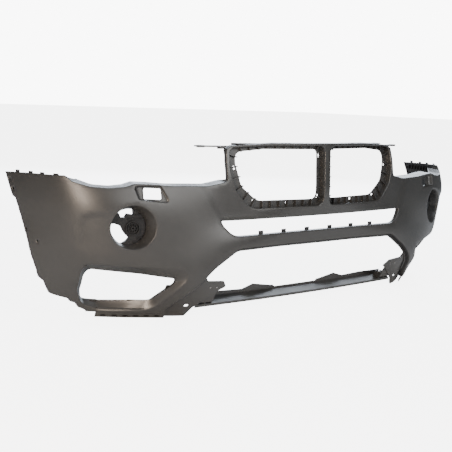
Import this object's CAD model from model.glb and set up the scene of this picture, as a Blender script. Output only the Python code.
import math

import bmesh
import bpy
import numpy as np
from mathutils import Matrix, Vector
from mathutils.geometry import delaunay_2d_cdt


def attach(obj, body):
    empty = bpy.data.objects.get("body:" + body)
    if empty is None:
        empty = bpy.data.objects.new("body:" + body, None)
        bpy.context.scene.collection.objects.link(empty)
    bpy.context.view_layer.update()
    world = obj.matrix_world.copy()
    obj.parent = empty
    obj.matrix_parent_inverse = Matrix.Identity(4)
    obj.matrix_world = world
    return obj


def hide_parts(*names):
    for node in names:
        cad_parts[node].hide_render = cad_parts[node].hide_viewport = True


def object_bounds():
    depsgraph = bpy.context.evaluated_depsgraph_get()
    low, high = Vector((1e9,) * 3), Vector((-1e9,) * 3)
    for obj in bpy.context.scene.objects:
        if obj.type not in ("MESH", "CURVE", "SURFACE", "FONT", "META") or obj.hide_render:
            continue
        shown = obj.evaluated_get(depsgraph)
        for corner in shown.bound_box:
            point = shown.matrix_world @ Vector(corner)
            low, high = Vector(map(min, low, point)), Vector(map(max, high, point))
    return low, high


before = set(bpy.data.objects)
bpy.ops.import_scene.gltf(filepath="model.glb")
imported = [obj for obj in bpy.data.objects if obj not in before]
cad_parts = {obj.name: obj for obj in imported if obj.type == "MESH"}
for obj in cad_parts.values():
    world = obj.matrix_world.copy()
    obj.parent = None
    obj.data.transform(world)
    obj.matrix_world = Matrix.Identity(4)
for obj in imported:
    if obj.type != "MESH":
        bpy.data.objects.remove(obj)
CAD_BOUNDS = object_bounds()

bl_info = {
    "name": "Bumper cover",
    "version": (1, 0, 0),
    "blender": (4, 5, 0),
    "location": "View3D > Sidebar > Bumper cover",
    "description": "Builds the looks of a primed front bumper cover round its fixed frame",
    "category": "Object",
}

# Lengths in the outlines are millimetres: x from the middle, y back from the nose plane and z up
# from the floor. MM turns them into the scene's metres.
MM = 0.001
LOW, HIGH = (np.array(corner) for corner in CAD_BOUNDS)
NOSE_REACH = 14.0           # how far the tip of the nose stands ahead of y = 0
NOSE = LOW[1] + NOSE_REACH * MM

# Plan sections of the outer face: at each height, points (x, y) from the middle to the wing tip.
ALONG = (0, 0.18, 0.36, 0.5, 0.63, 0.73, 0.8, 0.88, 1.0)
SECTIONS = {
    -5: ((0, 65), (200, 66), (390, 76), (500, 90), (600, 145), (680, 200), (730, 240), (780, 280),
         (840, 330)),
    55: ((0, 45), (200, 47), (390, 46), (500, 62), (610, 115), (700, 185), (765, 242), (810, 276),
         (850, 315)),
    105: ((0, 25), (200, 26), (390, 16), (520, 34), (650, 105), (735, 170), (790, 217), (835, 267),
          (868, 320)),
    165: ((0, 12), (200, 13), (390, 4), (540, 32), (680, 90), (760, 142), (815, 198), (855, 265),
          (885, 330)),
    235: ((0, 2), (200, 1), (390, 6), (550, 42), (690, 82), (775, 128), (830, 185), (868, 265), (900, 350)),
    295: ((0, -3), (200, 3), (390, 20), (550, 45), (700, 82), (785, 125), (838, 180), (875, 270),
          (910, 390)),
    355: ((0, -13), (200, 6), (390, 27), (550, 52), (700, 86), (790, 126), (845, 182), (882, 275),
          (918, 410)),
    425: ((0, -12), (200, 10), (390, 33), (550, 70), (700, 108), (790, 148), (850, 200), (886, 292),
          (920, 430)),
    545: ((0, -6), (200, 20), (390, 60), (550, 108), (700, 152), (790, 192), (850, 242), (890, 330),
          (922, 458)),
}
HALF_RUN = 1080.0     # length of one half of the cover along its face, at mid height
SHARP_ANGLE = math.radians(35)     # from here on, an edge of a piece behind the skin is sharp


# The face as a smooth surface ----------------------------------------------------------------

def spline_weights(stations, t):
    """How much each station of a natural cubic spline counts at each t."""
    s = np.array(stations, float)
    n = len(s)
    h = np.diff(s)
    unit = np.eye(n)
    rise = np.diff(unit, axis=0) / h[:, None]
    matrix = np.eye(n)
    right = np.zeros((n, n))
    for i in range(1, n - 1):
        matrix[i, i - 1:i + 2] = h[i], 2 * (h[i] + h[i - 1]), h[i - 1]
        right[i] = 3 * (h[i] * rise[i - 1] + h[i - 1] * rise[i])
    matrix[0, :2] = 2, 1
    right[0] = 3 * rise[0]
    matrix[-1, -2:] = 1, 2
    right[-1] = 3 * rise[-1]
    slope = np.linalg.solve(matrix, right)
    k = np.clip(np.searchsorted(s, t) - 1, 0, n - 2)
    f = ((t - s[k]) / h[k])[:, None]
    step = h[k][:, None]
    start = (1 + 2 * f) * (1 - f) ** 2 * unit[k] + f * (1 - f) ** 2 * step * slope[k]
    return start + f * f * (3 - 2 * f) * unit[k + 1] - f * f * (1 - f) * step * slope[k + 1]


ACROSS = [-u for u in ALONG[:0:-1]] + list(ALONG)
NET = np.array([[(-x, y) for x, y in half[:0:-1]] + list(half) for half in SECTIONS.values()], float)


def face_at(u, z):
    """Points of the plain outer face, in millimetres."""
    u, z = np.atleast_1d(u).astype(float), np.atleast_1d(z).astype(float)
    xy = np.einsum("ni,nj,ijk->nk", spline_weights(list(SECTIONS), z), spline_weights(ACROSS, u), NET)
    return np.column_stack([xy, z])


def inward_at(u, z):
    """The inward normal of the plain outer face."""
    eps = 1e-3
    along = face_at(u + eps, z) - face_at(u - eps, z)
    up = face_at(u, z + 1) - face_at(u, z - 1)
    normal = np.cross(up, along)
    return normal / np.linalg.norm(normal, axis=1, keepdims=True)


def find_u(z, want, axis):
    """Where along the left half the face reaches a given x (axis 0) or y (axis 1)."""
    z, want = np.atleast_1d(z).astype(float), np.atleast_1d(want).astype(float)
    low, high = np.zeros_like(z), np.full_like(z, 1.12)
    for _ in range(40):
        middle = (low + high) / 2
        short = face_at(middle, z)[:, axis] < want
        low, high = np.where(short, middle, low), np.where(short, high, middle)
    return (low + high) / 2


def smooth(t):
    t = np.clip(t, 0, 1)
    return t * t * (3 - 2 * t)


def along_line(points, x, z):
    """Distance from a drawn line, positive on its left."""
    best = np.full(x.shape, 1e9)
    sign = np.ones(x.shape)
    for (x0, z0), (x1, z1) in zip(points[:-1], points[1:]):
        dx, dz = x1 - x0, z1 - z0
        t = np.clip(((x - x0) * dx + (z - z0) * dz) / (dx * dx + dz * dz), 0, 1)
        gap = np.hypot(x - x0 - t * dx, z - z0 - t * dz)
        side = dx * (z - z0) - dz * (x - x0)
        nearer = gap < best
        sign = np.where(nearer, np.sign(side), sign)
        best = np.minimum(best, gap)
    return best * sign


# Outlines --------------------------------------------------------------------------------------

def arc_corner(before, corner, after, radius, count=9):
    """Points along the rounding of one corner."""
    a, c, b = (np.array(p, float) for p in (before, corner, after))
    if radius <= 0:
        return [c]
    to_a, to_b = a - c, b - c
    to_a, to_b = to_a / np.linalg.norm(to_a), to_b / np.linalg.norm(to_b)
    half = math.acos(float(np.clip(to_a @ to_b, -1, 1))) / 2
    if half > math.pi / 2 - 0.01:
        return [c + (to_b - to_a) / 2 * (k - count // 2) * 0.5 for k in range(count)]
    middle = c + (to_a + to_b) / np.linalg.norm(to_a + to_b) * radius / math.sin(half)
    start = c + to_a * radius / math.tan(half) - middle
    sweep = math.pi - 2 * half
    turn = -math.copysign(1, to_a[0] * to_b[1] - to_a[1] * to_b[0])
    points = []
    for k in range(count):
        angle = turn * sweep * k / (count - 1)
        cos, sin = math.cos(angle), math.sin(angle)
        points.append(middle + np.array([cos * start[0] - sin * start[1], sin * start[0] + cos * start[1]]))
    return points


def outline(points, radii, spacing=6.0, closed=True, counts=None):
    """A rounded outline as evenly spaced points, and the counts used for its straight runs."""
    n = len(points)
    corners = []
    for i, (point, radius) in enumerate(zip(points, radii)):
        if not closed and i in (0, n - 1):
            corners.append([np.array(point, float)])
            continue
        corners.append(arc_corner(points[i - 1], point, points[(i + 1) % n], radius))
    made, used = [], []
    for i, corner in enumerate(corners):
        made += corner
        if not closed and i == n - 1:
            break
        start, end = corner[-1], corners[(i + 1) % n][0]
        runs = counts[i] if counts else max(int(np.linalg.norm(end - start) / spacing), 1)
        used.append(runs)
        made += [start + (end - start) * k / runs for k in range(1, runs)]
    return np.array(made), used


def outward(points, closed=True):
    """The unit direction pointing right of the way along an outline."""
    if closed:
        way = np.roll(points, -1, axis=0) - np.roll(points, 1, axis=0)
    else:
        way = np.gradient(points, axis=0)
    way /= np.linalg.norm(way, axis=1, keepdims=True) + 1e-12
    return np.column_stack([way[:, 1], -way[:, 0]])


LOWER_EDGE = ((352, 212), (450, 154), (562, 16))
LOWER_RADII = (55, 200, 6)
TOP_EDGE = (
    (0, 529), (210, 529), (300, 525), (360, 521), (380, 510), (384, 474), (383, 414), (450, 402), (571, 404),
    (631, 409), (676, 411), (704, 403), (746, 399), (794, 402), (832, 415), (846, 430), (893, 427.5),
)
TOP_RADII = (0, 200, 100, 12, 12, 0, 12, 90, 90, 60, 12, 30, 60, 60, 10, 8, 0)
ARCH_EDGE = (
    (243, 16), (243, 21), (254, 30), (256, 55), (292, 74), (294, 112), (307, 124),
    (309, 150), (316, 180), (327, 236), (349, 292), (370, 350), (382, 356), (417, 424),
)
ARCH_RADII = (0, 4, 6, 8, 8, 4, 4, 20, 80, 80, 60, 6, 4, 0)

GRILLE_EDGE = ((13, 330), (300, 330), (354, 387), (372, 447), (368, 515), (220, 521), (13, 521))
GRILLE_RADII = (24, 66, 50, 60, 22, 80, 20)
SLOT_EDGE = ((0, 297.5), (409, 297.5), (404, 283), (370, 250), (0, 250))
SLOT_RADII = (0, 3, 34, 60, 0)
FOG_RING = (685.0, 286.0, 63.5)
FOG_HOLE = (693.0, 284.0, 54.0)
WASHER_RIM = ((575, 354), (670, 366), (680, 404), (599, 404))
WASHER_RIM_RADII = (8, 8, 8, 8)
WASHER_HOLE = ((600, 365), (651, 366), (648, 398), (599, 397))
WASHER_HOLE_RADII = (5, 5, 5, 5)
SIDE_RIM = ((508, 158), (592, 22), (716, 22), (755, 42), (784, 92), (797, 158), (789, 179), (640, 169))
SIDE_RIM_RADII = (26, 60, 40, 30, 60, 60, 14, 200)
SIDE_HOLE = ((549, 128), (601, 55), (728, 47), (765, 51), (778, 80), (792, 136), (785, 155), (650, 142))
SIDE_HOLE_RADII = (9, 26, 20, 14, 50, 40, 12, 200)


def face_u(points):
    """The outline's points as (u, z) on the left half of the face."""
    return np.column_stack([find_u(points[:, 1], points[:, 0], 0), points[:, 1]])


# Shallow shapes of the face, as depth behind the plain surface -----------------------------------

PANEL_LINE = (
    (484, 404), (472, 392), (456, 366), (441, 337), (424, 311), (408, 288), (392, 268), (370, 250),
    (338, 240), (300, 237), (0, 236),
)
PANEL_DEPTH = 3.4
SHOULDER_LINE = (
    (786, 172), (818, 235), (823, 288), (817, 317), (797, 328), (748, 331), (722, 344), (688, 353),
)
SHOULDER_DEPTH = 4.0
ROLL_DEPTH = 4.0      # depth over which an edge is rolled before its flange runs level


def relief(x, z):
    """Depth of the drawn-in centre panel and of the fog lamp's panel."""
    inside = -along_line(PANEL_LINE, x, z)
    depth = PANEL_DEPTH * smooth((inside + 10) / 36) * smooth((560 - z) / 60) * smooth((x - 120) / 200)
    inside = along_line(SHOULDER_LINE, x, z)
    fade = smooth((x - 640) / 70) * smooth((z - 165) / 90)
    return depth + SHOULDER_DEPTH * smooth((inside + 5) / 20) * fade


def at_depth_u(flat, depth, rise=0.0):
    """Points (u, z) of the left half carried back: square to the face at first, then level."""
    place = face_at(flat[:, 0], flat[:, 1])
    inward = inward_at(flat[:, 0], flat[:, 1])
    sunk = relief(place[:, 0], flat[:, 1])
    depth = np.broadcast_to(depth, len(flat))
    square = np.minimum(depth, ROLL_DEPTH)
    level = inward * (1, 1, 0)
    level /= np.linalg.norm(level, axis=1, keepdims=True)
    level[:, 2] = rise
    return place + inward * (sunk + square)[:, None] + level * (depth - square)[:, None]


def at_depth(points, depth, rise=0.0):
    """The same for outline points (x, z)."""
    return at_depth_u(face_u(points), depth, rise)


class Sheet:
    """Points and faces of one half of a thin moulding, in millimetres."""

    def __init__(self):
        self.points = []
        self.faces = []
        self.size = 0

    def add(self, points):
        start = self.size
        self.points.append(np.asarray(points, float))
        self.size += len(points)
        return np.arange(start, self.size)

    def strip(self, first, second, closed, turned=False):
        """Quads between two rows of points."""
        n = len(first)
        for i in range(n if closed else n - 1):
            j = (i + 1) % n
            quad = (first[i], first[j], second[j], second[i])
            self.faces.append(quad[::-1] if turned else quad)

    def rows(self, rows, closed, turned=False, first=None):
        """A run of strips through rows of points, from an existing first row where one is given."""
        before = self.add(rows[0]) if first is None else first
        for row in rows if first is not None else rows[1:]:
            after = self.add(row)
            self.strip(before, after, closed, turned)
            before = after
        return before


def inside_loop(loop, points):
    """Which points lie inside a closed loop."""
    x, y = points[:, 0], points[:, 1]
    hit = np.zeros(len(points), bool)
    for (x0, y0), (x1, y1) in zip(loop, np.roll(loop, -1, axis=0)):
        if y0 == y1:
            continue
        crosses = (y0 > y) != (y1 > y)
        hit ^= crosses & (x < (x1 - x0) * (y - y0) / (y1 - y0) + x0)
    return hit


def fill_face(sheet, border, holes, spacing):
    """Triangles over the half face between its border and its holes, all given as (u, z)."""
    loops = [border * (HALF_RUN, 1)] + [hole * (HALF_RUN, 1) for hole in holes]
    across = np.arange(0, loops[0][:, 0].max(), spacing)
    up = np.arange(loops[0][:, 1].min(), loops[0][:, 1].max(), spacing * 0.87)
    grid = np.array([(a + (spacing / 2 if k % 2 else 0), b) for k, b in enumerate(up) for a in across])
    grid = grid[grid[:, 0] > spacing * 0.4]
    keep = inside_loop(loops[0], grid)
    for loop in loops[1:]:
        keep &= ~inside_loop(loop, grid)
    grid = grid[keep]
    edge_points = np.concatenate(loops)
    near = np.zeros(len(grid), bool)
    for chunk in np.array_split(np.arange(len(grid)), 40):
        gap = np.hypot(*(grid[chunk][:, None] - edge_points[None]).transpose(2, 0, 1))
        near[chunk] = gap.min(axis=1) < spacing * 0.55
    grid = grid[~near]
    edges, start = [], 0
    for loop in loops:
        count = len(loop)
        edges += [(start + i, start + (i + 1) % count) for i in range(count)]
        start += count
    flat = np.concatenate([edge_points, grid])
    result = delaunay_2d_cdt([Vector(p) for p in flat], edges, [], 0, 1e-5)
    made = np.array([tuple(v) for v in result[0]])
    triangles = np.array([tuple(f) for f in result[2]])
    centre = made[triangles].mean(axis=1)
    keep = inside_loop(loops[0], centre)
    for loop in loops[1:]:
        keep &= ~inside_loop(loop, centre)
    triangles = triangles[keep]
    order = {old: new for new, origins in enumerate(result[3]) for old in origins}
    ids = sheet.add(at_depth_u(made / (HALF_RUN, 1), 0))
    a, b, c = (made[triangles[:, k]] for k in range(3))
    turned = (b[:, 0] - a[:, 0]) * (c[:, 1] - a[:, 1]) - (b[:, 1] - a[:, 1]) * (c[:, 0] - a[:, 0]) < 0
    for face, flip in zip(triangles, turned):
        face = ids[face]
        sheet.faces.append(tuple(face[::-1] if flip else face))
    rings, start = [], 0
    for loop in loops:
        rings.append(ids[[order[start + i] for i in range(len(loop))]])
        start += len(loop)
    return rings


def mouth_rows(rim, steps):
    """Rows of points that turn in from a rim: each step is (inset, depth) in millimetres."""
    normal = -outward(rim)
    return [at_depth(rim + normal * inset, depth) for inset, depth in steps]


def between_rows(rim, hole, steps, reach=1.0):
    """Rows from a rim to a deeper hole: each step is (share of the way, depth, inset)."""
    normal = -outward(hole)
    return [at_depth(rim + (hole - rim) * share + normal * inset, depth * reach)
            for share, depth, inset in steps]


def circle(x, z, radius, count=72):
    angle = np.linspace(0, 2 * math.pi, count, endpoint=False)
    return np.column_stack([x + radius * np.cos(angle), z + radius * np.sin(angle)])


# The skin ----------------------------------------------------------------------------------------

ROLL = ((-1.5, 0.25), (-0.65, 0.95), (-0.12, 2.1), (0.0, 4.0))
FACE_STEP = 8.0
LEDGE_RISE = 0.09     # how much the flanges climb toward the back
ARCH_HOLES = ((395, 404, 3.2), (378, 378, 4.2), (330, 264, 5.0), (290, 232, 3.6))     # (y, z, radius)

# How far the flange behind each edge reaches back.
EDGE_FLANGE = 14.0
SLOT_FLANGE = 14.0
TOP_FLANGE = 20.0
LAMP_LEDGE = 46.0
WING_FLANGE = 7.0
LIP_FLANGE = 9.0
EDGE_INSET = 2.6      # from an open edge to the end of the flat face
GRILLE_MOUTH = ROLL + ((0.6, 12.0), (1.0, 24.0), (1.2, 31.0))

# How each recess goes in, as (share of the way from rim to hole, depth, inset of the wall).
FOG_CONE = (
    (0, 0.3, -1.4), (0, 1.2, -0.5), (0.02, 3.0, 0), (0.3, 10, 0), (0.65, 20, 0), (0.95, 29, 0),
    (1, 31.5, 0.3), (1, 36, 0.5),
)
SIDE_BEVEL = (
    (0, 0.4, -1.2), (0.03, 1.2, 0), (0.1, 3.0, 0), (0.3, 9, 0), (0.6, 18.5, 0), (0.9, 27.5, 0),
    (0.99, 30, 0), (1, 32, 0.4), (1, 37, 0.6),
)
WASHER_DISH = (
    (0, 0.3, -1.3), (0, 1.3, -0.4), (0.03, 4, 0), (0.12, 10, 0), (0.25, 13, 0), (0.6, 14.5, 0),
    (0.93, 15, 0), (1, 16, 0), (1, 22, 0.3),
)


def border_depth(x, z, y):
    """How far the flange along the cover's own edge reaches back."""
    depth = np.full(len(x), EDGE_FLANGE)
    depth[z > 500] = TOP_FLANGE
    depth[(z > 395) & (z < 440) & (x > 386) & (x < 834)] = LAMP_LEDGE
    depth[(z > 415) & (x > 838)] = WING_FLANGE
    depth[(y > 240) & (z < 425)] = WING_FLANGE
    depth[z < 18] = LIP_FLANGE
    wide = np.pad(depth, 2, mode="edge")
    return np.convolve(wide, np.ones(5) / 5, mode="valid")


def outer_path(step):
    """The cover's own edge from the middle of the lower opening round to the middle of the top."""
    lower, _ = outline(((0, 212),) + LOWER_EDGE + ((745, 16),), (0,) + LOWER_RADII + (0,), step, False)
    arch, _ = outline(ARCH_EDGE, ARCH_RADII, step, False)
    top, _ = outline(TOP_EDGE, TOP_RADII, step, False)
    arch_flat = np.column_stack([find_u(arch[:, 1], arch[:, 0], 1), arch[:, 1]])
    lower_flat = face_u(lower)
    top_flat = face_u(top[::-1])
    lower_flat = lower_flat[lower_flat[:, 0] < arch_flat[0, 0] - 0.002]
    top_flat = top_flat[top_flat[:, 0] < arch_flat[-1, 0] - 0.004]
    return np.concatenate([lower_flat, arch_flat, top_flat]) * (HALF_RUN, 1)


def middle_line(high, low, step):
    """Points down the middle between two heights, without its ends."""
    count = max(int((high - low) / step), 2)
    return np.column_stack([np.zeros(count - 1), np.linspace(high, low, count + 1)[1:-1]])


def edge_rows(path, depth_of, extra):
    """Rows that roll over an open edge, drawn in (run, z), and reach back as its flange."""
    right = outward(path, False)
    right[0], right[-1] = (right[0] * (0, 1), right[-1] * (0, 1))
    rows = []
    for inset, depth in ROLL:
        rows.append(at_depth_u((path + right * inset) / (HALF_RUN, 1), depth))
    for share in extra:
        depth = ROLL_DEPTH + (depth_of - ROLL_DEPTH) * share
        rows.append(at_depth_u(path / (HALF_RUN, 1), depth, LEDGE_RISE))
    return rows


def skin_sheet():
    """One half of the skin as a sheet: its face, its rolled edges and its recesses."""
    step = 3.0
    sheet = Sheet()
    outer = outer_path(step)
    slot, _ = outline(SLOT_EDGE, SLOT_RADII, step, False)
    slot = face_u(slot) * (HALF_RUN, 1)
    outer_in = outer - outward(outer, False) * EDGE_INSET
    slot_in = slot - outward(slot, False) * EDGE_INSET
    for path in (outer_in, slot_in):
        path[[0, -1], 0] = 0.0
    top_line = middle_line(outer_in[-1, 1], slot_in[0, 1], FACE_STEP)
    low_line = middle_line(slot_in[-1, 1], outer_in[0, 1], FACE_STEP)
    border = np.concatenate([outer_in, top_line, slot_in, low_line])

    grille, _ = outline(GRILLE_EDGE, GRILLE_RADII, step)
    side_rim, runs = outline(SIDE_RIM, SIDE_RIM_RADII, step)
    side_hole, _ = outline(SIDE_HOLE, SIDE_HOLE_RADII, step, counts=runs)
    washer_rim, runs = outline(WASHER_RIM, WASHER_RIM_RADII, step)
    washer_hole, _ = outline(WASHER_HOLE, WASHER_HOLE_RADII, step, counts=runs)
    fog_rim = circle(*FOG_RING)
    fog_hole = circle(*FOG_HOLE)
    rims = [grille, fog_rim, side_rim, washer_rim]
    holes = [face_u(rim + outward(rim) * EDGE_INSET) for rim in rims]
    for y, z, radius in ARCH_HOLES:
        centre = np.array([find_u(z, y, 1)[0] * HALF_RUN, z])
        holes.append(circle(*centre, radius, 14) / (HALF_RUN, 1))
    rings = fill_face(sheet, border / (HALF_RUN, 1), holes, FACE_STEP)

    first = rings[0][:len(outer_in)]
    start = len(outer_in) + len(top_line)
    second = rings[0][start:start + len(slot_in)]
    place = face_at(outer[:, 0] / HALF_RUN, outer[:, 1])
    depth_of = border_depth(place[:, 0], place[:, 2], place[:, 1])
    sheet.rows(edge_rows(outer, depth_of, (0.25, 0.5, 0.75, 1.0)), False, True, first)
    sheet.rows(edge_rows(slot, np.full(len(slot), SLOT_FLANGE), (0.5, 1.0)), False, True, second)

    sheet.rows(mouth_rows(grille, GRILLE_MOUTH), True, False, rings[1])
    sheet.rows(between_rows(fog_rim, fog_hole, FOG_CONE), True, False, rings[2])
    # The side and washer recesses are shallower toward the middle of the cover.
    reach = 0.66 + 0.34 * smooth((side_hole[:, 0] - 570) / 110)
    sheet.rows(between_rows(side_rim, side_hole, SIDE_BEVEL, reach), True, False, rings[3])
    reach = 1 - 0.6 * smooth((642 - washer_hole[:, 0]) / 36)
    sheet.rows(between_rows(washer_rim, washer_hole, WASHER_DISH, reach), True, False, rings[4])
    return sheet


def whole_mesh(name, sheet):
    """A mesh of a half sheet and its mirror image, in the scene's metres."""
    points = np.concatenate(sheet.points) * MM
    points[:, 1] += NOSE
    mesh = bpy.data.meshes.new(name)
    count = len(points)
    mirrored = points * (-1, 1, 1)
    faces = [tuple(int(i) for i in face) for face in sheet.faces]
    faces += [tuple(i + count for i in face[::-1]) for face in faces]
    mesh.from_pydata(np.concatenate([points, mirrored]).tolist(), [], faces)
    shape = bmesh.new()
    shape.from_mesh(mesh)
    bmesh.ops.remove_doubles(shape, verts=shape.verts, dist=2e-5)
    bmesh.ops.dissolve_degenerate(shape, edges=shape.edges, dist=1e-6)
    shape.to_mesh(mesh)
    shape.free()
    return mesh


# Pieces behind the skin ----------------------------------------------------------------------

def slab(sheet, flat, near, far):
    """A plate that follows the face between two depths; its outline (u, z) runs anticlockwise."""
    front = sheet.add(at_depth_u(flat, near))
    back = sheet.add(at_depth_u(flat, far))
    sheet.strip(front, back, True, True)
    sheet.faces.append(tuple(front))
    sheet.faces.append(tuple(back[::-1]))


def wall(sheet, points, width, near, far):
    """An upright rim along an outline (x, z), standing back from one depth to another."""
    inner = points - outward(points) * width
    rows = [sheet.add(at_depth(loop, depth)) for loop, depth in
            ((points, near), (points, far), (inner, far), (inner, near), (points, near))]
    for before, after in zip(rows, rows[1:]):
        sheet.strip(before, after, True, True)


CARRIER_NEAR, CARRIER_FAR = 36.8, 39.8     # the plate's two faces, behind the outer face
CARRIER_RIM = 14.0     # how far the rim along its edge reaches back
CARRIER_EDGE = (
    (596, 232), (612, 212), (646, 192), (674, 192), (676, 212), (716, 214), (730, 222), (726, 233),
    (709, 235), (697, 242), (689, 251), (698, 259), (707, 270), (714, 284), (723, 289), (735, 293),
    (748, 292), (754, 300), (744, 318), (727, 331), (719, 322), (715, 311), (702, 311), (695, 322),
    (675, 319), (676, 338), (596, 338),
)
CARRIER_RADII = (6, 10, 6, 6, 4, 8, 4, 3, 8, 6, 3, 6, 8, 6, 5, 6, 3, 4, 8, 3, 2, 3, 3, 3, 2, 6, 6)
SOCKET_AT = (680.0, 280.0)
SOCKET_RINGS = ((21, 2.2, 31), (15, 1.6, 33), (6, 3, 29))     # (radius, wall, near depth)
SOCKET_RIBS = 9
CARRIER_FEET = ((606, 321), (606, 253), (660, 203))
CARRIER_BARS = ((238, 676), (250, 664), (306, 694), (318, 672))     # (height, where it ends)
BAR_START = 604
BAR_HEIGHT = 2


def carrier_sheet():
    """The fog lamp's carrier: a cut-away plate with a rim, a lamp socket, ribs and three feet."""
    sheet = Sheet()
    edge, _ = outline(CARRIER_EDGE, CARRIER_RADII, 5)
    slab(sheet, face_u(edge), CARRIER_NEAR, CARRIER_FAR)
    wall(sheet, edge, 2.0, CARRIER_FAR, CARRIER_FAR + CARRIER_RIM)
    for radius, width, near in SOCKET_RINGS:
        wall(sheet, circle(*SOCKET_AT, radius, 40), width, near, CARRIER_NEAR)
    for k in range(SOCKET_RIBS):
        turn = 2 * math.pi * k / SOCKET_RIBS
        along = np.array([math.cos(turn), math.sin(turn)])
        side = np.array([-along[1], along[0]])
        ends = np.array(SOCKET_AT) + np.outer((6, 15), along)
        rib = np.array([ends[0] - side, ends[1] - side, ends[1] + side, ends[0] + side])
        slab(sheet, face_u(rib), 33, CARRIER_NEAR)
    for x, z in CARRIER_FEET:
        wall(sheet, circle(x, z, 9, 32), 3, CARRIER_NEAR - 2, CARRIER_FAR + 1.5)
    for z, end in CARRIER_BARS:
        top = z + BAR_HEIGHT
        bar = np.array([(BAR_START, z), (end, z), (end, top), (BAR_START, top)])
        slab(sheet, face_u(bar), CARRIER_NEAR - 6, CARRIER_NEAR)
    return sheet


SEAL_EDGE = ((0, 212),) + LOWER_EDGE + ((622, 16),)
SEAL_RADII = (0,) + LOWER_RADII + (0,)
# Sections of the seal and the strip, as (reach into the opening, depth behind the face).
SEAL_PROFILE = ((0.3, 3.2), (1.2, 2.6), (2.8, 3.6), (3.2, 6.0), (3.2, 15.0), (0.3, 15.5), (0.3, 3.2))
STRIP_PROFILE = ((3.4, 13.0), (8.6, 13.0), (9.6, 14.0), (9.6, 15.8), (3.4, 15.8), (3.4, 13.0))


def edge_run(profile, lowest):
    """Half of a strip that runs along the edge of the lower opening down to a height."""
    sheet = Sheet()
    path, _ = outline(SEAL_EDGE, SEAL_RADII, 8, False)
    path = path[path[:, 1] > lowest]
    right = outward(path, False)
    rows = [sheet.add(at_depth(path + right * inset, depth)) for inset, depth in profile]
    for before, after in zip(rows, rows[1:]):
        sheet.strip(before, after, False, True)
    return sheet


LIP_CLIPS = range(559, 703, 26)     # where each starts, along the lip strip
LIP_CLIP_LENGTH = 18
LIP_CLIP_HEIGHTS = (1.0, 13.0)


def clip_nut_sheet():
    """The plastic clip nuts behind the wheel arch edge's holes and the lip strip's slots."""
    sheet = Sheet()
    for y, z, radius in ARCH_HOLES:
        centre = np.array([find_u(z, y, 1)[0] * HALF_RUN, z])
        for size, near, far in ((radius + 2.5, 4.2, 6.4), (radius + 0.8, 6.4, 11.0)):
            slab(sheet, circle(*centre, size, 24) / (HALF_RUN, 1), near, far)
    for x in LIP_CLIPS:
        end = x + LIP_CLIP_LENGTH
        low, high = LIP_CLIP_HEIGHTS
        plate = np.array([(x, low), (end, low), (end, high), (x, high)])
        slab(sheet, face_u(plate), 6.6, 8.6)
    return sheet


def side_mesh(name, sheet, side):
    """A mesh of a sheet on one side of the cover, in the scene's metres."""
    points = np.concatenate(sheet.points) * MM
    points[:, 1] += NOSE
    points[:, 0] *= side
    faces = [tuple(int(i) for i in (face if side > 0 else face[::-1])) for face in sheet.faces]
    mesh = bpy.data.meshes.new(name)
    mesh.from_pydata(points.tolist(), [], faces)
    mesh.shade_smooth()
    mesh.set_sharp_from_angle(angle=SHARP_ANGLE)
    return mesh


# Finishes ----------------------------------------------------------------------------------------

class Nodes:
    """A short way to place and join shader nodes in one tree."""

    def __init__(self, tree):
        self.tree = tree

    def make(self, kind, inputs=None, **settings):
        node = self.tree.nodes.new(kind)
        for key, value in settings.items():
            setattr(node, key, value)
        for key, value in (inputs or {}).items():
            if isinstance(value, bpy.types.NodeSocket):
                self.tree.links.new(value, node.inputs[key])
            else:
                node.inputs[key].default_value = value
        return node

    def link(self, output, socket):
        self.tree.links.new(output, socket)

    def noise(self, vector, scale, detail=3.0, rough=0.55):
        inputs = {"Vector": vector, "Scale": scale, "Detail": detail, "Roughness": rough}
        return self.make("ShaderNodeTexNoise", inputs).outputs["Fac"]

    def span(self, value, low, high, to_low, to_high):
        inputs = {"Value": value, "From Min": low, "From Max": high, "To Min": to_low, "To Max": to_high}
        return self.make("ShaderNodeMapRange", inputs, interpolation_type="SMOOTHSTEP").outputs["Result"]

    def math(self, operation, first, second=0.5):
        return self.make("ShaderNodeMath", {0: first, 1: second}, operation=operation).outputs[0]

    def blend(self, share, first, second):
        node = self.make("ShaderNodeMix", data_type="RGBA")
        for socket, value in ((0, share), (6, first), (7, second)):
            if isinstance(value, bpy.types.NodeSocket):
                self.link(value, node.inputs[socket])
            else:
                node.inputs[socket].default_value = value
        return node.outputs[2]


def effect_group(name, inputs, outputs):
    """A new shader node group with named float or colour sockets, and its two end nodes."""
    tree = bpy.data.node_groups.new(name, "ShaderNodeTree")
    for label, value in inputs.items():
        kind = "NodeSocketColor" if isinstance(value, tuple) else "NodeSocketFloat"
        socket = tree.interface.new_socket(label, in_out="INPUT", socket_type=kind)
        socket.default_value = value
    for label, kind in outputs.items():
        tree.interface.new_socket(label, in_out="OUTPUT", socket_type=kind)
    nodes = Nodes(tree)
    return nodes, nodes.make("NodeGroupInput").outputs, nodes.make("NodeGroupOutput").inputs


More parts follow.
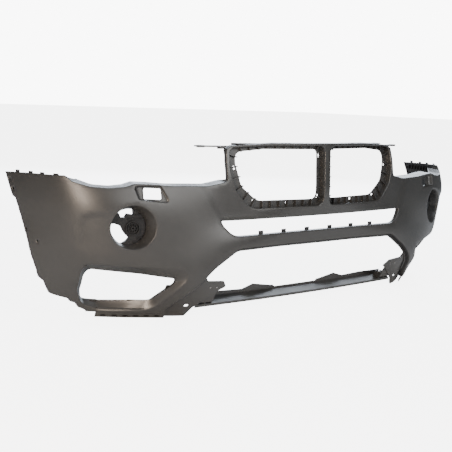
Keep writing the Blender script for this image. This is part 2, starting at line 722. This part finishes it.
def sprayed_group():
    """Cloudy tone, fine speckle and a slight orange-peel height, as on sprayed primer."""
    nodes, given, out = effect_group(
        "Sprayed coat",
        {"Tone": (0.2, 0.2, 0.2, 1.0), "Cloud": 0.12, "Speckle": 0.10, "Peel": 1.0},
        {"Color": "NodeSocketColor", "Mask": "NodeSocketFloat", "Height": "NodeSocketFloat"},
    )
    place = nodes.make("ShaderNodeTexCoord").outputs["Object"]
    cloud = nodes.span(nodes.noise(place, 3.2, 4.0, 0.5), 0.3, 0.7, -1.0, 1.0)
    speckle = nodes.span(nodes.noise(place, 900.0, 2.0, 0.7), 0.3, 0.7, -1.0, 1.0)
    shift = nodes.math("ADD", nodes.math("MULTIPLY", cloud, given["Cloud"]),
                       nodes.math("MULTIPLY", speckle, given["Speckle"]))
    gain = nodes.math("ADD", shift, 1.0)
    scaled = nodes.make("ShaderNodeVectorMath", {0: given["Tone"], "Scale": gain}, operation="SCALE")
    nodes.link(scaled.outputs[0], out["Color"])
    nodes.link(nodes.span(cloud, -1.0, 1.0, 0.0, 1.0), out["Mask"])
    peel = nodes.noise(place, 420.0, 1.5, 0.4)
    grain = nodes.noise(place, 1700.0, 1.0, 0.5)
    rough = nodes.math("MULTIPLY", grain, 0.35)
    nodes.link(nodes.math("ADD", nodes.math("MULTIPLY", peel, given["Peel"]), rough), out["Height"])
    return nodes.tree


def dust_group():
    """Dry dust that lies on faces looking up and in patches elsewhere."""
    nodes, given, out = effect_group(
        "Dust", {"Amount": 0.4, "Scale": 14.0}, {"Mask": "NodeSocketFloat"})
    normal = nodes.make("ShaderNodeNewGeometry").outputs["Normal"]
    up = nodes.make("ShaderNodeSeparateXYZ", {0: normal}).outputs["Z"]
    place = nodes.make("ShaderNodeTexCoord").outputs["Object"]
    patches = nodes.make("ShaderNodeTexNoise", {"Vector": place, "Scale": given["Scale"], "Detail": 6.0})
    lies = nodes.span(up, 0.15, 0.95, 0.12, 1.0)
    spread = nodes.span(patches.outputs["Fac"], 0.38, 0.68, 0.0, 1.0)
    nodes.link(nodes.math("MULTIPLY", nodes.math("MULTIPLY", lies, spread), given["Amount"]), out["Mask"])
    return nodes.tree


def moulded_group():
    """Fine spark-eroded grain with faint flow streaks, as on raw moulded plastic."""
    nodes, given, out = effect_group(
        "Moulded grain", {"Tone": (0.02, 0.02, 0.02, 1.0), "Streak": 0.3},
        {"Color": "NodeSocketColor", "Mask": "NodeSocketFloat", "Height": "NodeSocketFloat"},
    )
    place = nodes.make("ShaderNodeTexCoord").outputs["Object"]
    drawn = nodes.make("ShaderNodeMapping", {"Vector": place, "Scale": (1.0, 1.0, 6.0)}).outputs[0]
    streak = nodes.span(nodes.noise(drawn, 5.0, 5.0, 0.6), 0.35, 0.7, -1.0, 1.0)
    gain = nodes.math("ADD", nodes.math("MULTIPLY", streak, given["Streak"]), 1.0)
    scaled = nodes.make("ShaderNodeVectorMath", {0: given["Tone"], "Scale": gain}, operation="SCALE")
    nodes.link(scaled.outputs[0], out["Color"])
    nodes.link(nodes.span(streak, -1.0, 1.0, 0.0, 1.0), out["Mask"])
    cells = nodes.make("ShaderNodeTexVoronoi", {"Vector": place, "Scale": 1300.0}).outputs["Distance"]
    nodes.link(cells, out["Height"])
    return nodes.tree


def group_in(nodes, name, build, inputs):
    """A node of the named group, which is built when it is first needed."""
    tree = bpy.data.node_groups.get(name) or build()
    node = nodes.make("ShaderNodeGroup", node_tree=tree)
    for key, value in inputs.items():
        node.inputs[key].default_value = value
    return node.outputs


def new_finish(name):
    """A material with an empty tree and its principled shader."""
    made = bpy.data.materials.new(name)
    made.use_nodes = True
    made.node_tree.nodes.clear()
    nodes = Nodes(made.node_tree)
    shader = nodes.make("ShaderNodeBsdfPrincipled")
    nodes.make("ShaderNodeOutputMaterial", {"Surface": shader.outputs[0]})
    return made, nodes, shader


def primer(name, tone, gloss=0.34, cloud=0.07, dust=0.25):
    """Sprayed grey primer: cloudy tone, orange peel, a soft sheen and settled dust."""
    made, nodes, shader = new_finish(name)
    coat = group_in(nodes, "Sprayed coat", sprayed_group,
                    {"Tone": (*tone, 1.0), "Cloud": cloud, "Speckle": 0.06, "Peel": 1.0})
    settled = group_in(nodes, "Dust", dust_group, {"Amount": dust, "Scale": 9.0})["Mask"]
    pale = tuple(min(1.0, c * 1.6 + 0.05) for c in tone)
    nodes.link(nodes.blend(settled, coat["Color"], (*pale, 1.0)), shader.inputs["Base Color"])
    rough = nodes.span(coat["Mask"], 0.0, 1.0, gloss - 0.05, gloss + 0.06)
    nodes.link(nodes.math("ADD", rough, nodes.math("MULTIPLY", settled, 0.3)), shader.inputs["Roughness"])
    bump = nodes.make("ShaderNodeBump", {"Strength": 0.10, "Distance": 0.0006, "Height": coat["Height"]})
    nodes.link(bump.outputs[0], shader.inputs["Normal"])
    shader.inputs["Specular IOR Level"].default_value = 0.9
    return made


def raw_plastic(name, tone, gloss=0.5, dust=0.2):
    """Raw moulded polypropylene: fine grain, faint flow streaks and dust."""
    made, nodes, shader = new_finish(name)
    grain = group_in(nodes, "Moulded grain", moulded_group, {"Tone": (*tone, 1.0), "Streak": 0.25})
    settled = group_in(nodes, "Dust", dust_group, {"Amount": dust, "Scale": 22.0})["Mask"]
    pale = tuple(min(1.0, c + 0.10) for c in tone)
    nodes.link(nodes.blend(settled, grain["Color"], (*pale, 1.0)), shader.inputs["Base Color"])
    rough = nodes.span(grain["Mask"], 0.0, 1.0, gloss - 0.07, gloss + 0.09)
    nodes.link(nodes.math("ADD", rough, nodes.math("MULTIPLY", settled, 0.3)), shader.inputs["Roughness"])
    bump = nodes.make("ShaderNodeBump", {"Strength": 0.2, "Distance": 0.0004, "Height": grain["Height"]})
    nodes.link(bump.outputs[0], shader.inputs["Normal"])
    return made


def zinc(name):
    """Zinc plated steel: bright, finely brushed, with duller patches."""
    made, nodes, shader = new_finish(name)
    place = nodes.make("ShaderNodeTexCoord").outputs["Object"]
    patches = nodes.noise(place, 160.0, 5.0, 0.6)
    drawn = nodes.make("ShaderNodeMapping", {"Vector": place, "Scale": (1, 1, 25)}).outputs[0]
    brushed = nodes.noise(drawn, 300.0)
    dulled = nodes.span(patches, 0.35, 0.65, 0.0, 1.0)
    tone = nodes.blend(dulled, (0.55, 0.54, 0.52, 1), (0.36, 0.36, 0.37, 1))
    nodes.link(tone, shader.inputs["Base Color"])
    shader.inputs["Metallic"].default_value = 1.0
    nodes.link(nodes.span(patches, 0.3, 0.7, 0.28, 0.5), shader.inputs["Roughness"])
    bump = nodes.make("ShaderNodeBump", {"Strength": 0.15, "Distance": 0.0003, "Height": brushed})
    nodes.link(bump.outputs[0], shader.inputs["Normal"])
    return made


def finish_of(name):
    """One of the object's finishes, made once."""
    found = bpy.data.materials.get(name)
    if found:
        return found
    tones = bpy.context.scene.cover_finish
    makers = {
        "Grey primer": lambda: primer("Grey primer", tones.primer_tone),
        "Thin primer": lambda: primer("Thin primer", tones.overspray_tone, gloss=0.45, cloud=0.25, dust=0.3),
        "Raw black plastic": lambda: raw_plastic("Raw black plastic", tones.plastic_tone),
        "Zinc": lambda: zinc("Zinc"),
    }
    return makers[name]()


def repaint(node, *names):
    """Gives a fixed node's mesh its finish."""
    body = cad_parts[node]
    for index, name in enumerate(names):
        body.material_slots[index].material = finish_of(name)


# Operators ---------------------------------------------------------------------------------------

class COVER_PG_sizes(bpy.types.PropertyGroup):
    wall: bpy.props.FloatProperty(
        name="Wall", description="Thickness of the moulded skin", default=0.003, min=0.001, max=0.006,
        subtype="DISTANCE", unit="LENGTH")


class COVER_PG_finish(bpy.types.PropertyGroup):
    primer_tone: bpy.props.FloatVectorProperty(
        name="Primer", description="Tone of the sprayed primer", default=(0.030, 0.0292, 0.0278),
        min=0, max=1, subtype="COLOR")
    overspray_tone: bpy.props.FloatVectorProperty(
        name="Thin primer", description="Tone where the primer only dusts the black plastic",
        default=(0.032, 0.031, 0.030), min=0, max=1, subtype="COLOR")
    plastic_tone: bpy.props.FloatVectorProperty(
        name="Raw plastic", description="Tone of the bare moulded plastic", default=(0.012, 0.012, 0.013),
        min=0, max=1, subtype="COLOR")


class COVER_PG_stage(bpy.types.PropertyGroup):
    view_turn: bpy.props.FloatProperty(
        name="View turn", description="How far the view is turned from square on to the front",
        default=math.radians(-40.2), subtype="ANGLE", unit="ROTATION")
    view_lift: bpy.props.FloatProperty(
        name="View lift", description="How far the view looks down", default=math.radians(8.0),
        subtype="ANGLE", unit="ROTATION")
    view_roll: bpy.props.FloatProperty(
        name="View roll", description="How far the camera is rolled", default=math.radians(2.2),
        subtype="ANGLE", unit="ROTATION")
    lens: bpy.props.FloatProperty(
        name="Lens", description="Focal length on a 36 mm wide sensor", default=71.9, min=20, max=200,
        unit="CAMERA")
    world_light: bpy.props.FloatProperty(
        name="Surroundings", description="Strength of the light from all round", default=0.20, min=0, max=5)
    backdrop: bpy.props.FloatProperty(
        name="Backdrop", description="Brightness of the white backdrop itself", default=9.0, min=0, max=20)
    side_power: bpy.props.FloatProperty(
        name="Side light", description="Power of the warm side light in watts", default=84,
        min=0, max=1000)
    front_power: bpy.props.FloatProperty(
        name="Front light", description="Power of the broad front light in watts", default=95,
        min=0, max=1000)
    back_power: bpy.props.FloatProperty(
        name="Back light", description="Power of the cool light behind in watts", default=160,
        min=0, max=1000)
    top_power: bpy.props.FloatProperty(
        name="Top light", description="Power of the cool top light in watts", default=30, min=0, max=1000)


def put(name, data):
    """A new object with this data, placed in the scene."""
    made = bpy.data.objects.new(name, data)
    bpy.context.scene.collection.objects.link(made)
    return made


def softbox(name, turn, lift, distance, width, height, power, colour):
    """A large soft lamp aimed at the middle of the cover."""
    lamp = bpy.data.lights.new(name, "AREA")
    lamp.shape = "RECTANGLE"
    lamp.size, lamp.size_y = width, height
    lamp.energy = power
    lamp.color = colour
    made = put(name, lamp)
    way = Vector((math.sin(turn) * math.cos(lift), -math.cos(turn) * math.cos(lift), math.sin(lift)))
    target = Vector((0, 0, HIGH[2] / 2))
    made.location = target + way * distance
    made.rotation_euler = way.to_track_quat("Z", "Y").to_euler()
    made.visible_camera = False


CAMERA_PLACE = Vector((-2122.2, -2225.5, 658.2)) * MM
FLOOR_REACH = 40.0    # metres, far enough to run out of every view
FLOOR_GAP = 0.0005    # below the lowest piece, in metres
FLOOR_SHARE = 0.6     # of the backdrop's brightness, added to the floor where the camera sees it


def studio_floor(stage):
    """A wide sheet of pale paper, which the camera alone sees brightened."""
    mesh = bpy.data.meshes.new("Floor")
    reach = FLOOR_REACH
    corners = [(-reach, -reach, 0), (reach, -reach, 0), (reach, reach, 0), (-reach, reach, 0)]
    mesh.from_pydata(corners, [], [(0, 1, 2, 3)])
    floor = put("Floor", mesh)
    floor.location.z = LOW[2] - FLOOR_GAP
    paper, nodes, shader = new_finish("Studio paper")
    place = nodes.make("ShaderNodeTexCoord").outputs["Object"]
    tone = nodes.blend(nodes.noise(place, 2.0, 4.0), (0.90, 0.90, 0.90, 1), (0.94, 0.94, 0.94, 1))
    nodes.link(tone, shader.inputs["Base Color"])
    shader.inputs["Roughness"].default_value = 0.9
    shader.inputs["Specular IOR Level"].default_value = 0.1
    seen = nodes.make("ShaderNodeLightPath").outputs["Is Camera Ray"]
    shader.inputs["Emission Color"].default_value = (1.0, 1.0, 1.0, 1.0)
    glow = nodes.math("MULTIPLY", seen, stage.backdrop * FLOOR_SHARE)
    nodes.link(glow, shader.inputs["Emission Strength"])
    mesh.materials.append(paper)
    return floor


def studio_world(stage):
    """Dim, cool surroundings that the camera alone sees as a white backdrop."""
    world = bpy.data.worlds.new("Studio")
    world.use_nodes = True
    sky = Nodes(world.node_tree)
    dim = world.node_tree.nodes["Background"]
    dim.inputs["Color"].default_value = (0.90, 0.95, 1.0, 1.0)
    dim.inputs["Strength"].default_value = stage.world_light
    seen = sky.make("ShaderNodeBackground", {"Color": (1, 1, 1, 1), "Strength": stage.backdrop})
    shift = sky.make("ShaderNodeMixShader")
    sky.link(sky.make("ShaderNodeLightPath").outputs["Is Camera Ray"], shift.inputs[0])
    sky.link(dim.outputs[0], shift.inputs[1])
    sky.link(seen.outputs[0], shift.inputs[2])
    sky.link(shift.outputs[0], world.node_tree.nodes["World Output"].inputs["Surface"])
    return world


def studio_camera(stage):
    """The camera, turned and rolled by the stage's settings."""
    lens = bpy.data.cameras.new("Camera")
    lens.lens = stage.lens
    lens.sensor_width = 36.0
    lens.clip_end = 200.0
    camera = put("Camera", lens)
    turn, lift, roll = stage.view_turn, stage.view_lift, stage.view_roll
    back_way = Vector((math.sin(turn) * math.cos(lift), -math.cos(turn) * math.cos(lift), math.sin(lift)))
    right = (-back_way).cross(Vector((0, 0, 1))).normalized()
    up = back_way.cross(right)
    rolled = right * math.cos(roll) + up * math.sin(roll)
    upright = up * math.cos(roll) - right * math.sin(roll)
    axes = Matrix((rolled, upright, back_way)).transposed()
    camera.matrix_world = Matrix.Translation(CAMERA_PLACE) @ axes.to_4x4()
    return camera


class COVER_OT_stage(bpy.types.Operator):
    """Sets the pale floor, the soft lights and the camera"""

    bl_idname = "cover.stage"
    bl_label = "Stage"

    def execute(self, context):
        stage = context.scene.cover_stage
        floor = studio_floor(stage)
        context.scene.world = studio_world(stage)
        # Each light: its turn from the front and its lift in degrees, distance, width, height, watts, tone.
        lights = {
            "Side light": (-62, 14, 3.6, 0.36, 1.6, stage.side_power, (1.0, 0.82, 0.66)),
            "Front light": (8, 24, 4.6, 3.0, 2.0, stage.front_power, (1.0, 0.99, 0.97)),
            "Back light": (140, 20, 4.6, 5.0, 1.8, stage.back_power, (0.84, 0.91, 1.0)),
            "Top light": (-25, 74, 3.0, 3.0, 2.0, stage.top_power, (0.86, 0.92, 1.0)),
        }
        for name, (turn, lift, *rest) in lights.items():
            softbox(name, math.radians(turn), math.radians(lift), *rest)
        context.scene.camera = studio_camera(stage)
        return {"FINISHED"}


class COVER_OT_skin(bpy.types.Operator):
    """Builds the moulded skin with its rolled edges, recesses and flanges"""

    bl_idname = "cover.skin"
    bl_label = "Skin"

    def execute(self, context):
        mesh = whole_mesh("Bumper skin", skin_sheet())
        skin = put("Bumper_skin", mesh)
        mesh.materials.append(finish_of("Grey primer"))
        mesh.materials.append(finish_of("Raw black plastic"))
        mesh.shade_smooth()
        mesh.set_sharp_from_angle(angle=math.radians(38))
        wall = skin.modifiers.new("Wall", "SOLIDIFY")
        wall.thickness = context.scene.cover_sizes.wall
        wall.offset = -1.0
        wall.use_even_offset = False
        wall.material_offset = 1
        wall.material_offset_rim = 0
        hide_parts("bumper_skin")
        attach(skin, "root")
        return {"FINISHED"}


class COVER_OT_fog_carriers(bpy.types.Operator):
    """Builds the cut-away black carriers behind the fog lamp openings"""

    bl_idname = "cover.fog_carriers"
    bl_label = "Fog lamp carriers"

    def execute(self, context):
        for side, word in ((1, "left"), (-1, "right")):
            mesh = side_mesh(f"Fog carrier {word}", carrier_sheet(), side)
            mesh.materials.append(finish_of("Raw black plastic"))
            carrier = put(f"Fog_carrier_{word}", mesh)
            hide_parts(f"fog_lamp_bracket_{word}")
            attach(carrier, "root")
        return {"FINISHED"}


class COVER_OT_edge_strips(bpy.types.Operator):
    """Builds the dark foam seal and the joggled strip inside the edge of the lower opening"""

    bl_idname = "cover.edge_strips"
    bl_label = "Edge seal and strip"

    def execute(self, context):
        runs = (("Edge seal", SEAL_PROFILE, 20, "Raw black plastic", "black_plastic"),
                ("Edge strip", STRIP_PROFILE, 60, "Thin primer", "grey_plastic"))
        for name, profile, lowest, finish, slot in runs:
            mesh = whole_mesh(name, edge_run(profile, lowest))
            mesh.shade_smooth()
            mesh.set_sharp_from_angle(angle=SHARP_ANGLE)
            mesh.materials.append(finish_of(finish))
            piece = put(name.replace(" ", "_"), mesh)
            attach(piece, "root")
        return {"FINISHED"}


class COVER_OT_clip_nuts(bpy.types.Operator):
    """Builds the plastic clip nuts behind the wheel arch edges' holes and the lip strips' slots"""

    bl_idname = "cover.clip_nuts"
    bl_label = "Clip nuts"

    def execute(self, context):
        for side, word in ((1, "left"), (-1, "right")):
            mesh = side_mesh(f"Clip nuts {word}", clip_nut_sheet(), side)
            mesh.materials.append(finish_of("Raw black plastic"))
            nuts = put(f"Clip_nuts_{word}", mesh)
            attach(nuts, "root")
        return {"FINISHED"}


class COVER_OT_fixed_pieces(bpy.types.Operator):
    """Gives the brackets, rails, strips and fasteners their finishes"""

    bl_idname = "cover.fixed_pieces"
    bl_label = "Fixed pieces"

    def execute(self, context):
        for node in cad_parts:
            if node == "bumper_skin" or node.startswith("fog_lamp_bracket"):
                continue
            if "screw" in node or "nut" in node:
                repaint(node, "Zinc")
            elif node.startswith(("wing_guide", "wheel_arch", "lower_grille_rail")):
                repaint(node, "Raw black plastic")
            elif node.startswith(("lower_crossbar", "lower_corner")):
                repaint(node, "Grey primer")
            else:
                repaint(node, "Thin primer")
        return {"FINISHED"}


STEPS = (COVER_OT_stage, COVER_OT_skin, COVER_OT_fog_carriers, COVER_OT_edge_strips, COVER_OT_clip_nuts,
         COVER_OT_fixed_pieces)


class COVER_PT_panel(bpy.types.Panel):
    """Lists the steps that build the cover"""

    bl_idname = "COVER_PT_panel"
    bl_label = "Bumper cover"
    bl_space_type = "VIEW_3D"
    bl_region_type = "UI"
    bl_category = "Bumper cover"

    def draw(self, context):
        for group in (context.scene.cover_sizes, context.scene.cover_finish, context.scene.cover_stage):
            for name in group.__annotations__:
                self.layout.prop(group, name)
        for step in STEPS:
            self.layout.operator(step.bl_idname)


GROUPS = {"cover_sizes": COVER_PG_sizes, "cover_finish": COVER_PG_finish, "cover_stage": COVER_PG_stage}
CLASSES = (*GROUPS.values(), *STEPS, COVER_PT_panel)


def register():
    for made in CLASSES:
        bpy.utils.register_class(made)
    for name, group in GROUPS.items():
        setattr(bpy.types.Scene, name, bpy.props.PointerProperty(type=group))


def unregister():
    for name in GROUPS:
        delattr(bpy.types.Scene, name)
    for made in reversed(CLASSES):
        bpy.utils.unregister_class(made)


def main():
    register()
    for step in STEPS:
        area, name = step.bl_idname.split(".")
        getattr(getattr(bpy.ops, area), name)()


if __name__ == "__main__":
    main()
